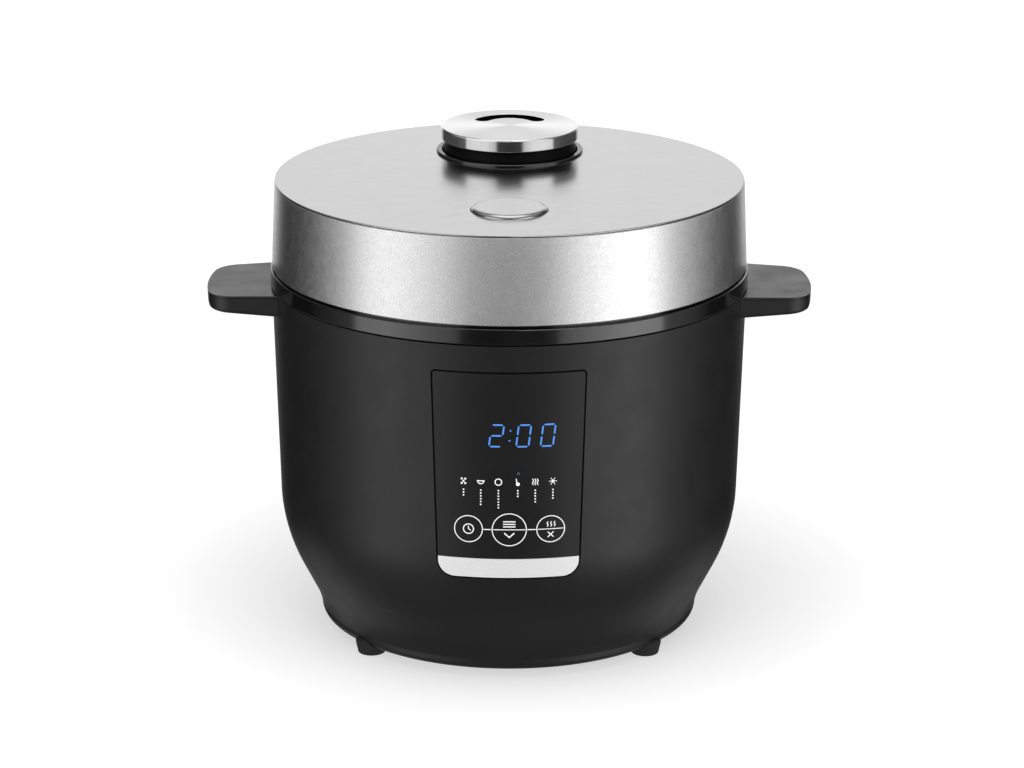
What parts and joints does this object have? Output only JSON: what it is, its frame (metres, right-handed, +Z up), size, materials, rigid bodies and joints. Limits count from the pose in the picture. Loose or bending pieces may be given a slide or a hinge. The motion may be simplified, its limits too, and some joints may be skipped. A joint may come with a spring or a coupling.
{
  "type": "electric multicooker",
  "caption": "Round electric multicooker with side handles, hinged silver lid, front release button, lift-out steam valve and front control panel.",
  "frame": {"origin": "on the surface the feet stand on, under the middle of the whole object; the round body's own axis is 10 mm in front of it", "axes": "+Z up, +X to the right seen from the front, the control panel faces -Y and the lid's hinge is at +Y"},
  "size_m": [0.3238, 0.276, 0.2611],
  "materials": {
    "casing_black": "fine satin moulded grain",
    "cover_black": "smooth satin",
    "gloss_black": "polished",
    "panel_film": "satin film with light printing",
    "key_film": "satin film with a light printed outline",
    "panel_plastic": "moulded",
    "trim_silver": "silver, satin",
    "lid_silver": "silver, satin, slightly mirroring",
    "band_silver": "silver with a fine metallic grain",
    "cap_steel": "radially turned top and polished edge",
    "white_plastic": "moulded",
    "smoke_plastic": "smoke tint",
    "silicone": "matt silicone",
    "foot_rubber": "matt",
    "screw_steel": "zinc plated",
    "inlet_brass": "plated",
    "liner_steel": "galvanised sheet",
    "pot_coated": "dark non-stick coating",
    "inner_lid_aluminium": "satin",
    "heater_aluminium": "cast and turned",
    "warm_band_foil": "foil",
    "board_green": "circuit board",
    "display_window": "smoked window over blue digits",
    "switch_black": "moulded"
  },
  "bodies": {
    "body": {"outer_casing": "casing_black", "handle_left": "casing_black", "handle_right": "casing_black", "hinge_bracket": "casing_black", "base_plate": "casing_black", "handle_cover_left": "cover_black", "handle_cover_right": "cover_black", "upper_deck": "gloss_black", "panel_overlay": "panel_film", "panel_carrier": "panel_plastic", "power_inlet": "panel_plastic", "panel_trim_strip": "trim_silver", "foot_front_left": "foot_rubber", "foot_front_right": "foot_rubber", "foot_rear_left": "foot_rubber", "foot_rear_right": "foot_rubber", "casing_screws": "screw_steel", "hinge_pin": "screw_steel", "hinge_spring": "screw_steel", "sensor_spring": "screw_steel", "sensor_guide": "screw_steel", "thermal_fuse": "screw_steel", "inlet_pins": "inlet_brass", "inner_liner": "liner_steel", "inner_pot": "pot_coated", "inner_pot_floor": "pot_coated", "heating_plate": "heater_aluminium", "heating_element": "heater_aluminium", "keep_warm_band": "warm_band_foil", "control_board": "board_green", "power_board": "board_green", "display_module": "display_window", "tact_switches": "switch_black"},
    "lid": {"lid_base": "gloss_black", "lid_side_band": "band_silver", "lid_top_plate": "lid_silver", "lid_screws": "screw_steel", "inner_lid_plate": "inner_lid_aluminium", "inner_lid_gasket": "silicone", "inner_lid_retainer": "silicone", "lid_sensor": "inner_lid_aluminium", "button_housing": "panel_plastic", "button_spring": "screw_steel", "latch_pin": "screw_steel", "steam_vent_collar": "gloss_black", "hinge_arm": "gloss_black"},
    "release_button": {"release_button": "lid_silver"},
    "latch": {"latch_hook": "panel_plastic"},
    "steam_valve": {"steam_cap": "cap_steel", "steam_cap_body": "gloss_black", "steam_valve_cup": "white_plastic", "steam_valve_seal": "silicone"},
    "vent_ball": {"vent_ball": "white_plastic"},
    "key_left": {"key_left": "key_film"},
    "key_middle": {"key_middle": "key_film"},
    "key_right": {"key_right": "key_film"},
    "sensor": {"sensor_cup": "inner_lid_aluminium"},
    "drip_cup": {"drip_cup": "smoke_plastic"}
  },
  "joints": [
    {"name": "lid_hinge", "type": "hinge", "parent": "body", "child": "lid", "pos_m": [0, 0.1275, 0.197], "axis": [-1, 0, 0], "range_deg": [0, 95]},
    {"name": "press_release_button", "type": "slide", "parent": "lid", "child": "release_button", "axis": [0, 0, -1], "range_m": [0, 0.004], "stiffness_N_per_m": 800, "springref_m": -0.004, "deforming": ["button_spring"]},
    {"name": "latch_pivot", "type": "hinge", "parent": "lid", "child": "latch", "pos_m": [0, -0.122, 0.214], "axis": [-1, 0, 0], "range_deg": [0, 5.91]},
    {"name": "steam_valve_lift", "type": "slide", "parent": "lid", "child": "steam_valve", "axis": [0, 0, 1], "range_m": [0, 0.05]},
    {"name": "vent_ball_lift", "type": "slide", "parent": "steam_valve", "child": "vent_ball", "axis": [0, 0, 1], "range_m": [0, 0.003]},
    {"name": "press_key_left", "type": "slide", "parent": "body", "child": "key_left", "axis": [0, 1, 0], "range_m": [0, 0.0005], "stiffness_N_per_m": 1500, "springref_m": -0.0006},
    {"name": "press_key_middle", "type": "slide", "parent": "body", "child": "key_middle", "axis": [0, 1, 0], "range_m": [0, 0.0005], "stiffness_N_per_m": 1500, "springref_m": -0.0006},
    {"name": "press_key_right", "type": "slide", "parent": "body", "child": "key_right", "axis": [0, 1, 0], "range_m": [0, 0.0005], "stiffness_N_per_m": 1500, "springref_m": -0.0006},
    {"name": "press_sensor", "type": "slide", "parent": "body", "child": "sensor", "axis": [0, 0, -1], "range_m": [0, 0.002], "stiffness_N_per_m": 1500, "springref_m": -0.003, "deforming": ["sensor_spring"]},
    {"name": "drip_cup_slide", "type": "slide", "parent": "body", "child": "drip_cup", "axis": [0, 1, 0], "range_m": [0, 0.035]}
  ],
  "couplings": [
    {"joint": "latch_pivot", "follows": "press_release_button", "rad_per_m": 25.36}
  ]
}
